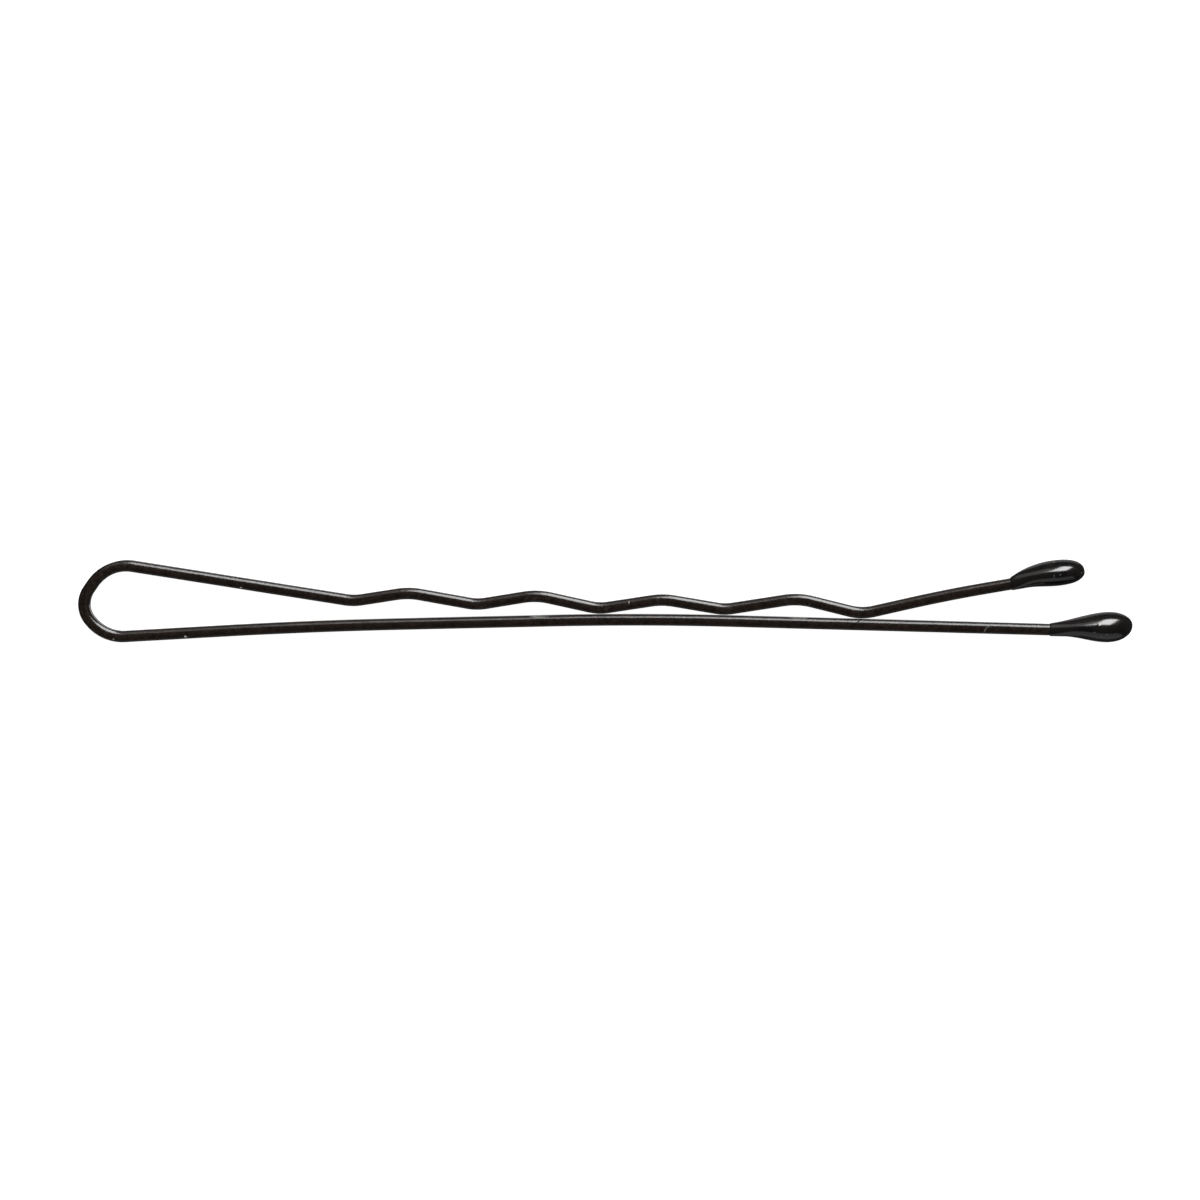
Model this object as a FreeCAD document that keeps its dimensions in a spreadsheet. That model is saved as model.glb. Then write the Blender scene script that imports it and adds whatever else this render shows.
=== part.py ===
"""Bobby pin: a flattened spring wire bent into a bow, a straight leg and a crimped leg, with beaded tips.

The pin lies on its side. X runs from the bow to the tips, Y from the straight leg to the crimped leg and
Z up from the surface that the beads lie on. Lengths are in millimetres and angles in degrees.
"""
import FreeCAD, Part
import math
import os

import Sketcher
from FreeCAD import Placement, Rotation, Vector

SIZES = [
    ("strip_thickness", 0.55, "flattened wire, face to face"),
    ("strip_width", 1.3, "flattened wire, over its round edges"),
    ("bow_reach", 25.5, "from the pin's middle to the outside of the bow"),
    ("apex_drop", 0.16, "bow's apex below the pin's middle line"),
    ("apex_radius", 1.24, "bend at the apex"),
    ("shoulder_radius", 2.0, "bend where each side of the bow turns into its leg"),
    ("upper_side_angle", 55.5, "slope of the bow's upper side"),
    ("upper_side_run", 0.34, "straight stretch of the upper side"),
    ("lower_side_angle", 48.8, "slope of the bow's lower side"),
    ("lower_side_run", 0.1, "straight stretch of the lower side"),
    ("root_run", 3.8, "straight stretch of each leg that stays with the bow"),
    ("straight_root_angle", 3.22, "rise of the straight leg as it leaves the bow"),
    ("straight_first_run", 0.7, "from the flexing line to the first bend"),
    ("straight_near_radius", 261.0, "first bend of the straight leg's arch"),
    ("straight_middle_angle", 1.28, "rise between the two bends"),
    ("straight_middle_run", 7.37, "straight stretch between the two bends"),
    ("straight_far_radius", 176.0, "second bend of the arch"),
    ("straight_end_angle", 1.53, "fall of the straight leg towards its tip"),
    ("straight_end_run", 15.42, "from the second bend to the bead"),
    ("wavy_root_angle", 8.93, "fall of the crimped leg as it leaves the bow"),
    ("first_trough", 13.34, "from the outside of the bow to the first trough"),
    ("first_climb", 2.62, "from the first trough to the first crest"),
    ("first_descent", 3.38, "from the first crest to the second trough"),
    ("second_climb", 2.76, "from the second trough to the second crest"),
    ("second_descent", 3.2, "from the second crest to the third trough"),
    ("third_climb", 2.97, "from the third trough to the third crest"),
    ("third_descent", 3.04, "from the third crest to the fourth trough"),
    ("fourth_climb", 3.38, "from the fourth trough to the fourth crest"),
    ("fourth_descent", 3.26, "from the fourth crest to the last trough"),
    ("trough_radius", 2.6, "bend of every trough"),
    ("crest_radius", 3.4, "bend of every crest"),
    ("second_trough_gap", 0.34, "second trough above the straight leg"),
    ("leg_clearance", 0.03, "gripping troughs above the straight leg"),
    ("first_crest_rise", 0.42, "crest above the middle of its two troughs"),
    ("second_crest_rise", 0.465, "the same, second crest"),
    ("third_crest_rise", 0.405, "the same, third crest"),
    ("fourth_crest_rise", 0.54, "the same, fourth crest"),
    ("lift_angle", 12.75, "rise of the lifted end out of the last trough"),
    ("lift_run", 1.56, "straight stretch before the lift eases off"),
    ("lift_radius", 74.5, "bend where the lift eases off"),
    ("wavy_end_angle", 9.63, "rise of the lifted end at its bead"),
    ("wavy_end_run", 1.12, "from that bend to the bead"),
    ("tip_film", 0.03, "resin on the strip where a bead begins"),
    ("tip_grip", 2.4, "strip inside a bead"),
    ("straight_tip_length", 4.0, "straight leg's bead, end to end"),
    ("straight_bulb_station", 2.75, "from its beginning to its fattest place"),
    ("straight_neck_over", 0.19, "resin on its upper side, a quarter of the way to that place"),
    ("straight_waist_over", 0.37, "the same, halfway"),
    ("straight_waist_under", 0.06, "resin on its lower side, halfway"),
    ("straight_bulb_over", 0.65, "resin on its upper side, at its fattest place"),
    ("straight_bulb_under", 0.27, "resin on its lower side, at its fattest place"),
    ("straight_bulb_spread", 0.23, "how much wider than high it is there"),
    ("wavy_tip_length", 3.63, "crimped leg's bead, end to end"),
    ("wavy_bulb_station", 2.42, "from its beginning to its fattest place"),
    ("wavy_neck_over", 0.26, "resin on its upper side, a quarter of the way to that place"),
    ("wavy_waist_over", 0.42, "the same, halfway"),
    ("wavy_waist_under", 0.05, "resin on its lower side, halfway"),
    ("wavy_bulb_over", 0.51, "resin on its upper side, at its fattest place"),
    ("wavy_bulb_under", 0.21, "resin on its lower side, at its fattest place"),
    ("wavy_bulb_spread", 0.43, "how much wider than high it is there"),
]
CRESTS = ("first", "second", "third", "fourth")
TROUGHS = ("first", "second", "third", "fourth", "fifth")
DOME_ANGLES = (32, 58, 77)  # places on a bead's round end, as on a quarter circle


def make_sheet(name, rows):
    """A spreadsheet with a note, an aliased cell and nothing else in each row."""
    sheet = document.addObject("Spreadsheet::Sheet", name)
    for row, (alias, content, note) in enumerate(rows, start=1):
        sheet.set(f"A{row}", note)
        sheet.set(f"B{row}", str(content))
        sheet.setAlias(f"B{row}", alias)
    document.recompute()
    return sheet


def height_of_straight_leg(x):
    """Formula for the middle of the straight leg at x: its first slope, bent down over two ramps."""
    terms = ["lower_root_y + tan(Sizes.straight_root_angle) * ({x} - lower_root_x)"]
    rises = ("Sizes.straight_root_angle", "Sizes.straight_middle_angle", "-Sizes.straight_end_angle")
    slopes = [f"tan({rise})" for rise in rises]
    for bend, before, after in zip(("near", "far"), slopes, slopes[1:]):
        start, end = f"{bend}_bend_start", f"{bend}_bend_end"
        ramp = f"(max(0; {{x}} - {start})^2 - max(0; {{x}} - {end})^2) / (2 * ({end} - {start}))"
        terms.append(f"(({after}) - ({before})) * {ramp}")
    return " + ".join(terms).format(x=x)


def bow_root_rows(side, up, leg_angle):
    """Where a leg leaves the bow and where it begins to flex, walked from the bow's apex."""
    angle, run = f"Sizes.{side}_side_angle", f"Sizes.{side}_side_run"
    inward = (
        f"apex_x + Sizes.apex_radius * (1 - sin({angle})) + {run} * cos({angle})"
        f" + Sizes.shoulder_radius * (sin({angle}) + sin({leg_angle}))"
    )
    outward = (
        f"Sizes.apex_radius * cos({angle}) + {run} * sin({angle})"
        f" + Sizes.shoulder_radius * (cos({leg_angle}) - cos({angle}))"
    )
    return [
        (f"{side}_root_x", f"={inward}", "leg leaves the bow"),
        (f"{side}_root_y", f"=apex_y {'+' if up else '-'} ({outward})", "leg leaves the bow"),
        (f"{side}_split_x", f"={side}_root_x + Sizes.root_run * cos({leg_angle})", "leg begins to flex"),
        (
            f"{side}_split_y",
            f"={side}_root_y {'-' if up else '+'} Sizes.root_run * sin({leg_angle})",
            "leg begins to flex",
        ),
    ]


def straight_leg_rows():
    """Ends of the straight leg's two bends, and the places of its bead and its end."""
    root, middle, fall = (f"Sizes.straight_{part}_angle" for part in ("root", "middle", "end"))
    return [
        (
            "near_bend_start",
            f"=lower_split_x + Sizes.straight_first_run * cos({root})",
            "first bend begins",
        ),
        (
            "near_bend_end",
            f"=near_bend_start + Sizes.straight_near_radius * (sin({root}) - sin({middle}))",
            "first bend ends",
        ),
        (
            "far_bend_start",
            f"=near_bend_end + Sizes.straight_middle_run * cos({middle})",
            "second bend begins",
        ),
        (
            "far_bend_end",
            f"=far_bend_start + Sizes.straight_far_radius * (sin({middle}) + sin({fall}))",
            "second bend ends",
        ),
        ("straight_collar_x", f"=far_bend_end + Sizes.straight_end_run * cos({fall})", "bead begins"),
        (
            "straight_collar_y",
            f"=lower_split_y + Sizes.straight_first_run * sin({root})"
            f" + Sizes.straight_near_radius * (cos({middle}) - cos({root}))"
            f" + Sizes.straight_middle_run * sin({middle})"
            f" + Sizes.straight_far_radius * (cos({fall}) - cos({middle}))"
            f" - Sizes.straight_end_run * sin({fall})",
            "bead begins",
        ),
        ("straight_end_x", f"=straight_collar_x + Sizes.tip_grip * cos({fall})", "strip ends in its bead"),
    ]


def first_trough_low():
    """Formula for the first trough's lowest place: its bend runs on from the leg's plain stretch."""
    return (
        "upper_root_y - tan(Sizes.wavy_root_angle) * (first_trough_x - upper_root_x)"
        " + Sizes.trough_radius * (1 / cos(Sizes.wavy_root_angle) - 1)"
    )


def later_trough_low(trough):
    """Formula for a later trough's lowest place, set by its gap to the straight leg."""
    gap = "Sizes.second_trough_gap" if trough == "second" else "Sizes.leg_clearance"
    return f"{height_of_straight_leg(f'{trough}_trough_x')} + Sizes.strip_thickness + {gap}"


def crimp_rows():
    """Places of the troughs and crests: the gripping troughs rest on the straight leg."""
    rows = []
    place = "Sizes.first_trough - Sizes.bow_reach"
    for index, trough in enumerate(TROUGHS):
        if index:
            wave = CRESTS[index - 1]
            place = f"{TROUGHS[index - 1]}_trough_x + Sizes.{wave}_climb + Sizes.{wave}_descent"
        low = later_trough_low(trough) if index else first_trough_low()
        centre = f"{trough}_trough_low + Sizes.trough_radius"
        rows.append((f"{trough}_trough_x", f"={place}", "trough"))
        rows.append((f"{trough}_trough_low", f"={low}", "middle of the strip at the trough's lowest place"))
        rows.append((f"{trough}_trough_y", f"={centre}", "centre of its bend"))
    for crest, before, after in zip(CRESTS, TROUGHS, TROUGHS[1:]):
        high = f"({before}_trough_low + {after}_trough_low) / 2 + Sizes.{crest}_crest_rise"
        rows.append((f"{crest}_crest_x", f"={before}_trough_x + Sizes.{crest}_climb", "crest"))
        rows.append((f"{crest}_crest_y", f"={high} - Sizes.crest_radius", "centre of its bend"))
    return rows


def lifted_end_rows():
    """Places of the crimped leg's bead and end, walked up from the last trough."""
    lift, ease = "Sizes.lift_angle", "Sizes.wavy_end_angle"
    return [
        (
            "lift_x",
            f"=fifth_trough_x + Sizes.trough_radius * sin({lift}) + Sizes.lift_run * cos({lift})"
            f" + Sizes.lift_radius * (sin({lift}) - sin({ease}))",
            "lift has eased off",
        ),
        (
            "lift_y",
            f"=fifth_trough_y - Sizes.trough_radius * cos({lift}) + Sizes.lift_run * sin({lift})"
            f" + Sizes.lift_radius * (cos({ease}) - cos({lift}))",
            "lift has eased off",
        ),
        ("wavy_collar_x", f"=lift_x + Sizes.wavy_end_run * cos({ease})", "bead begins"),
        ("wavy_collar_y", f"=lift_y + Sizes.wavy_end_run * sin({ease})", "bead begins"),
        ("wavy_end_x", f"=wavy_collar_x + Sizes.tip_grip * cos({ease})", "strip ends in its bead"),
    ]


def height_of_bead(over, under):
    """Formula for a bead's height, from the resin on the strip's two faces."""
    return f"(Sizes.strip_thickness + {over} + {under})"


def bulb_width(leg):
    """Formula for the width of a bead at its fattest place."""
    height = height_of_bead(f"Sizes.{leg}_bulb_over", f"Sizes.{leg}_bulb_under")
    return f"({height} + Sizes.{leg}_bulb_spread)"


def station_rows():
    """Every place that follows from the sizes, in the order in which it is worked out."""
    widths = "; ".join(bulb_width(leg) for leg in ("straight", "wavy"))
    return [
        ("strip_level", f"=max({widths}) / 2", "middle of the strip above the surface"),
        ("apex_x", "=Sizes.strip_thickness / 2 - Sizes.bow_reach", "middle of the strip at the apex"),
        ("apex_y", "=-Sizes.apex_drop", "middle of the strip at the apex"),
        *bow_root_rows("upper", True, "Sizes.wavy_root_angle"),
        *bow_root_rows("lower", False, "Sizes.straight_root_angle"),
        *straight_leg_rows(),
        *crimp_rows(),
        *lifted_end_rows(),
    ]


def number(formula):
    """Present value of a formula over the sheets."""
    return float(sizes.evalExpression(formula))


def heading(angle):
    """Unit vector in the XY plane."""
    return Vector(math.cos(math.radians(angle)), math.sin(math.radians(angle)), 0)


def new_sketch(body, name, role):
    """An empty sketch on one of the body's own origin planes."""
    sketch = body.newObject("Sketcher::SketchObject", name)
    plane = next(item for item in body.Origin.OriginFeatures if item.Role == role)
    sketch.AttachmentSupport = [(plane, "")]
    sketch.MapMode = "FlatFace"
    return sketch


def bind(sketch, name, formula, kind, *where):
    """Add a named dimension to a sketch and tie it to the sheets."""
    start = number(formula)
    if kind == "Angle":
        start = math.radians(start)
    index = sketch.addConstraint(Sketcher.Constraint(kind, *where, start))
    sketch.renameConstraint(index, name)
    sketch.setExpression(f"Constraints.{name}", formula)


class Route:
    """The middle line of a strip: straight runs and bends, each tangent to the one before."""

    def __init__(self, sketch, point):
        self.sketch = sketch
        self.point = point
        self.free_end = None

    def join(self, piece, first, last):
        if self.free_end:
            self.sketch.addConstraint(Sketcher.Constraint("Tangent", *self.free_end, piece, first))
        self.free_end = (piece, last)
        return piece

    def run_to(self, point):
        line = self.sketch.addGeometry(Part.LineSegment(self.point, point))
        self.point = point
        return self.join(line, 1, 2)

    def run(self, angle, length):
        return self.run_to(self.point + heading(angle) * length)

    def bend(self, radius, before, after):
        left = after > before
        turn = 90 if left else -90
        centre = self.point + heading(before + turn) * radius
        self.point = centre + heading(after - turn) * radius
        ends = sorted(math.radians(angle - turn) for angle in (before, after))
        circle = Part.Circle(centre, Vector(0, 0, 1), radius)
        arc = self.sketch.addGeometry(Part.ArcOfCircle(circle, *ends))
        return self.join(arc, 1, 2) if left else self.join(arc, 2, 1)

    def begin_at(self, line, side):
        bind(self.sketch, "begin_x", f"Stations.{side}_split_x", "DistanceX", -1, 1, line, 1)
        bind(self.sketch, "begin_y", f"Stations.{side}_split_y", "DistanceY", -1, 1, line, 1)

    def end_at(self, line, formula):
        bind(self.sketch, "end_x", formula, "DistanceX", -1, 1, line, 2)


def stadium(sketch, height, width):
    """Two flat sides joined by round ends: height along the sketch's X, width along its Y."""
    radius = number(f"({height}) / 2")
    reach = number(f"({width}) / 2") - radius
    normal = Vector(0, 0, 1)
    top = sketch.addGeometry(Part.ArcOfCircle(Part.Circle(Vector(0, reach, 0), normal, radius), 0, math.pi))
    left = sketch.addGeometry(Part.LineSegment(Vector(-radius, reach, 0), Vector(-radius, -reach, 0)))
    circle = Part.Circle(Vector(0, -reach, 0), normal, radius)
    bottom = sketch.addGeometry(Part.ArcOfCircle(circle, math.pi, 2 * math.pi))
    right = sketch.addGeometry(Part.LineSegment(Vector(radius, -reach, 0), Vector(radius, reach, 0)))
    ring = (top, left, bottom, right, top)
    for before, after in zip(ring, ring[1:]):
        sketch.addConstraint(Sketcher.Constraint("Tangent", before, 2, after, 1))
    sketch.addConstraint(Sketcher.Constraint("Equal", top, bottom))
    sketch.addConstraint(Sketcher.Constraint("Symmetric", top, 3, bottom, 3, -1, 1))
    sketch.addConstraint(Sketcher.Constraint("PointOnObject", top, 3, -2))
    bind(sketch, "end_radius", f"({height}) / 2", "Radius", top)
    bind(sketch, "between_ends", f"({width}) - ({height})", "DistanceY", bottom, 3, top, 3)


def strip_body(name, side, leg_angle):
    """A body for one stretch of the strip, with the strip's section drawn square to its beginning."""
    body = document.addObject("PartDesign::Body", name)
    body.setExpression("Placement.Base.z", "Stations.strip_level")
    section = new_sketch(body, f"{name}_section", "YZ_Plane")
    section.AttachmentOffset = Placement(Vector(), Rotation(Vector(0, 1, 0), number(leg_angle)))
    section.setExpression("AttachmentOffset.Base.x", f"Stations.{side}_split_y")
    section.setExpression("AttachmentOffset.Base.z", f"Stations.{side}_split_x")
    section.setExpression("AttachmentOffset.Rotation.Angle", leg_angle)
    stadium(section, "Sizes.strip_thickness", "Sizes.strip_width")
    return body, section


def sweep_strip(body, section, route):
    """Carry the section along the route."""
    pipe = body.newObject("PartDesign::AdditivePipe", f"{body.Name}_strip")
    pipe.Profile = section
    pipe.Spine = route
    document.recompute()


def build_bow():
    """The bow with the first stretch of each leg, from the crimped leg round to the straight leg."""
    body, section = strip_body("spring_bow", "upper", "-Sizes.wavy_root_angle")
    sketch = new_sketch(body, "bow_route", "XY_Plane")
    wavy, straight = number("Sizes.wavy_root_angle"), number("Sizes.straight_root_angle")
    upper, lower = number("Sizes.upper_side_angle"), number("Sizes.lower_side_angle")
    shoulder, apex = number("Sizes.shoulder_radius"), number("Sizes.apex_radius")
    root = number("Sizes.root_run")
    route = Route(sketch, Vector(number("Stations.upper_split_x"), number("Stations.upper_split_y"), 0))
    wavy_root = route.run(180 - wavy, root)
    upper_shoulder = route.bend(shoulder, 180 - wavy, 180 + upper)
    upper_side = route.run(180 + upper, number("Sizes.upper_side_run"))
    apex_bend = route.bend(apex, 180 + upper, 360 - lower)
    lower_side = route.run(360 - lower, number("Sizes.lower_side_run"))
    lower_shoulder = route.bend(shoulder, 360 - lower, 360 + straight)
    straight_root = route.run(360 + straight, root)
    bind(sketch, "apex_x", "Stations.apex_x + Sizes.apex_radius", "DistanceX", -1, 1, apex_bend, 3)
    bind(sketch, "apex_y", "Stations.apex_y", "DistanceY", -1, 1, apex_bend, 3)
    bind(sketch, "apex_radius", "Sizes.apex_radius", "Radius", apex_bend)
    bind(sketch, "shoulder_radius", "Sizes.shoulder_radius", "Radius", upper_shoulder)
    sketch.addConstraint(Sketcher.Constraint("Equal", upper_shoulder, lower_shoulder))
    bind(sketch, "wavy_root", "Sizes.root_run", "Distance", wavy_root)
    bind(sketch, "wavy_angle", "180 - Sizes.wavy_root_angle", "Angle", wavy_root)
    bind(sketch, "upper_side", "Sizes.upper_side_run", "Distance", upper_side)
    bind(sketch, "upper_angle", "Sizes.upper_side_angle - 180", "Angle", upper_side)
    bind(sketch, "lower_side", "Sizes.lower_side_run", "Distance", lower_side)
    bind(sketch, "lower_angle", "-Sizes.lower_side_angle", "Angle", lower_side)
    bind(sketch, "straight_root", "Sizes.root_run", "Distance", straight_root)
    bind(sketch, "straight_angle", "Sizes.straight_root_angle", "Angle", straight_root)
    sweep_strip(body, section, sketch)
    return body


def build_straight_leg():
    """The smooth leg: a shallow arch that ends inside its bead."""
    body, section = strip_body("straight_leg", "lower", "Sizes.straight_root_angle")
    sketch = new_sketch(body, "straight_route", "XY_Plane")
    root, middle = number("Sizes.straight_root_angle"), number("Sizes.straight_middle_angle")
    fall = -number("Sizes.straight_end_angle")
    route = Route(sketch, Vector(number("Stations.lower_split_x"), number("Stations.lower_split_y"), 0))
    first_run = route.run(root, number("Sizes.straight_first_run"))
    near_bend = route.bend(number("Sizes.straight_near_radius"), root, middle)
    middle_run = route.run(middle, number("Sizes.straight_middle_run"))
    far_bend = route.bend(number("Sizes.straight_far_radius"), middle, fall)
    end_run = route.run(fall, number("Sizes.straight_end_run + Sizes.tip_grip"))
    route.begin_at(first_run, "lower")
    bind(sketch, "first_run", "Sizes.straight_first_run", "Distance", first_run)
    bind(sketch, "root_angle", "Sizes.straight_root_angle", "Angle", first_run)
    bind(sketch, "near_radius", "Sizes.straight_near_radius", "Radius", near_bend)
    bind(sketch, "middle_run", "Sizes.straight_middle_run", "Distance", middle_run)
    bind(sketch, "middle_angle", "Sizes.straight_middle_angle", "Angle", middle_run)
    bind(sketch, "far_radius", "Sizes.straight_far_radius", "Radius", far_bend)
    bind(sketch, "end_angle", "-Sizes.straight_end_angle", "Angle", end_run)
    route.end_at(end_run, "Stations.straight_end_x")
    sweep_strip(body, section, sketch)
    return body


def crimps():
    """Name and kind of every bend of the crimped leg, from the bow to the tip."""
    pairs = [(f"{crest}_crest", f"{trough}_trough") for crest, trough in zip(CRESTS, TROUGHS[1:])]
    return [f"{TROUGHS[0]}_trough"] + [name for pair in pairs for name in pair]


def radius_name(name):
    """Size that gives a crimp's bend."""
    return "Sizes.trough_radius" if name.endswith("trough") else "Sizes.crest_radius"


def slope_between(before, after):
    """Slope of the run that leaves one bend and meets the next, on the other side of the strip."""
    step = Vector(*(number(f"Stations.{after}_{axis} - Stations.{before}_{axis}") for axis in "xy"), 0)
    radii = number("Sizes.trough_radius + Sizes.crest_radius")
    lean = math.degrees(math.asin(radii / step.Length))
    along = math.degrees(math.atan2(step.y, step.x))
    return along + lean if before.endswith("trough") else along - lean


def build_wavy_leg():
    """The crimped leg: troughs and crests, then an end lifted away from the straight leg."""
    body, section = strip_body("wavy_leg", "upper", "-Sizes.wavy_root_angle")
    sketch = new_sketch(body, "wavy_route", "XY_Plane")
    names = crimps()
    lift, ease = number("Sizes.lift_angle"), number("Sizes.wavy_end_angle")
    slopes = [-number("Sizes.wavy_root_angle")]
    slopes += [slope_between(before, after) for before, after in zip(names, names[1:])]
    slopes.append(lift)
    route = Route(sketch, Vector(number("Stations.upper_split_x"), number("Stations.upper_split_y"), 0))
    bends = []
    for name, before, after in zip(names, slopes, slopes[1:]):
        centre = Vector(number(f"Stations.{name}_x"), number(f"Stations.{name}_y"), 0)
        radius = number(radius_name(name))
        side = -90 if name.endswith("trough") else 90
        run = route.run_to(centre + heading(before + side) * radius)
        bends.append(route.bend(radius, before, after))
        if len(bends) == 1:
            first_run = run
    lift_run = route.run(lift, number("Sizes.lift_run"))
    ease_bend = route.bend(number("Sizes.lift_radius"), lift, ease)
    end_run = route.run(ease, number("Sizes.wavy_end_run + Sizes.tip_grip"))
    route.begin_at(first_run, "upper")
    bind(sketch, "root_angle", "-Sizes.wavy_root_angle", "Angle", first_run)
    for name, bend in zip(names, bends):
        bind(sketch, f"{name}_radius", radius_name(name), "Radius", bend)
        bind(sketch, f"{name}_x", f"Stations.{name}_x", "DistanceX", -1, 1, bend, 3)
        if bend != bends[0]:
            bind(sketch, f"{name}_y", f"Stations.{name}_y", "DistanceY", -1, 1, bend, 3)
    bind(sketch, "lift_angle", "Sizes.lift_angle", "Angle", lift_run)
    bind(sketch, "lift_run", "Sizes.lift_run", "Distance", lift_run)
    bind(sketch, "lift_radius", "Sizes.lift_radius", "Radius", ease_bend)
    bind(sketch, "end_angle", "Sizes.wavy_end_angle", "Angle", end_run)
    route.end_at(end_run, "Stations.wavy_end_x")
    sweep_strip(body, section, sketch)
    return body


def neck_sections(leg):
    """Station, height, width and rise of each section of a bead, from its thin film to its fattest place."""
    film, width = "Sizes.tip_film", bulb_width(leg)
    thin = f"(Sizes.strip_width + 2 * {film})"
    coats = (
        (0, film, film),
        (0.25, f"Sizes.{leg}_neck_over", film),
        (0.5, f"Sizes.{leg}_waist_over", f"Sizes.{leg}_waist_under"),
        (1, f"Sizes.{leg}_bulb_over", f"Sizes.{leg}_bulb_under"),
    )
    for share, over, under in coats:
        wide = f"{thin} + {share} * ({width} - {thin})"
        station = f"{share} * Sizes.{leg}_bulb_station"
        yield station, height_of_bead(over, under), wide, f"({over} - {under}) / 2"


def dome_sections(leg):
    """The same beyond the fattest place, down to just short of the bead's end."""
    length, bulb = f"Sizes.{leg}_tip_length", f"Sizes.{leg}_bulb_station"
    over, under = f"Sizes.{leg}_bulb_over", f"Sizes.{leg}_bulb_under"
    for angle in DOME_ANGLES:
        station = f"{bulb} + ({length} - {bulb}) * sin({angle})"
        height = f"{height_of_bead(over, under)} * cos({angle})"
        yield station, height, f"{bulb_width(leg)} * cos({angle})", f"({over} - {under}) / 2"


def bead_sketches(body, name, sections):
    """The sections drawn square to the strip."""
    sketches = []
    for index, (station, height, width, rise) in enumerate(sections):
        sketch = new_sketch(body, f"{name}_{index}", "YZ_Plane")
        sketch.setExpression("AttachmentOffset.Base.x", rise)
        sketch.setExpression("AttachmentOffset.Base.z", station)
        stadium(sketch, height, width)
        sketches.append(sketch)
    return sketches


def bead_loft(body, name, sketches):
    """A smooth skin over the sections."""
    loft = body.newObject("PartDesign::AdditiveLoft", name)
    loft.Profile = sketches[0]
    loft.Sections = sketches[1:]
    document.recompute()


def build_tip(leg, end_angle):
    """A dipped bead: a drop of resin round the end of a leg."""
    name = f"{leg}_leg_tip"
    body = document.addObject("PartDesign::Body", name)
    body.Placement = Placement(Vector(), Rotation(Vector(0, 0, 1), number(end_angle)))
    body.setExpression("Placement.Base.x", f"Stations.{leg}_collar_x")
    body.setExpression("Placement.Base.y", f"Stations.{leg}_collar_y")
    body.setExpression("Placement.Base.z", "Stations.strip_level")
    body.setExpression("Placement.Rotation.Angle", end_angle)
    neck = bead_sketches(body, f"{name}_neck", neck_sections(leg))
    dome = bead_sketches(body, f"{name}_dome", dome_sections(leg))
    point = new_sketch(body, f"{name}_end", "YZ_Plane")
    point.setExpression("AttachmentOffset.Base.x", f"(Sizes.{leg}_bulb_over - Sizes.{leg}_bulb_under) / 2")
    point.setExpression("AttachmentOffset.Base.z", f"Sizes.{leg}_tip_length")
    end = point.addGeometry(Part.Point(Vector()))
    point.addConstraint(Sketcher.Constraint("Coincident", end, 1, -1, 1))
    document.recompute()
    bead_loft(body, f"{name}_drop", neck)
    bead_loft(body, f"{name}_round_end", neck[-1:] + dome + [point])
    full = body.Shape.Volume
    bore = new_sketch(body, f"{name}_bore", "YZ_Plane")
    stadium(bore, "Sizes.strip_thickness", "Sizes.strip_width")
    pocket = body.newObject("PartDesign::Pocket", f"{name}_pocket")
    pocket.Profile = bore
    pocket.setExpression("Length", "Sizes.tip_grip")
    pocket.Reversed = True
    document.recompute()
    if body.Shape.Volume > full - number("Sizes.tip_grip * Sizes.strip_thickness * Sizes.strip_width") / 2:
        raise RuntimeError(f"{name}: the strip's place in the bead isn't cut")
    return body


document = FreeCAD.newDocument("bobby_pin")
sizes = make_sheet("Sizes", SIZES)
stations = make_sheet("Stations", station_rows())
parts = [
    build_bow(),
    build_straight_leg(),
    build_wavy_leg(),
    build_tip("straight", "-Sizes.straight_end_angle"),
    build_tip("wavy", "Sizes.wavy_end_angle"),
]
document.recompute()

for item in document.Objects:
    if {"Invalid", "Error"} & set(item.State):
        raise RuntimeError(f"{item.Label}: {item.State}")
for part in parts:
    if part.Shape.isNull() or not part.Shape.isValid() or len(part.Shape.Solids) != 1:
        raise RuntimeError(f"{part.Label}: not one sound solid")

os.makedirs("parts", exist_ok=True)
for part in parts:
    part.Shape.exportStep(os.path.join("parts", f"{part.Label}.step"))
    print(f"{part.Label}: {part.Shape.Volume:.3f} mm3")
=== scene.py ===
import math

import bmesh
import bpy
from mathutils import Matrix, Vector, noise


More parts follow.
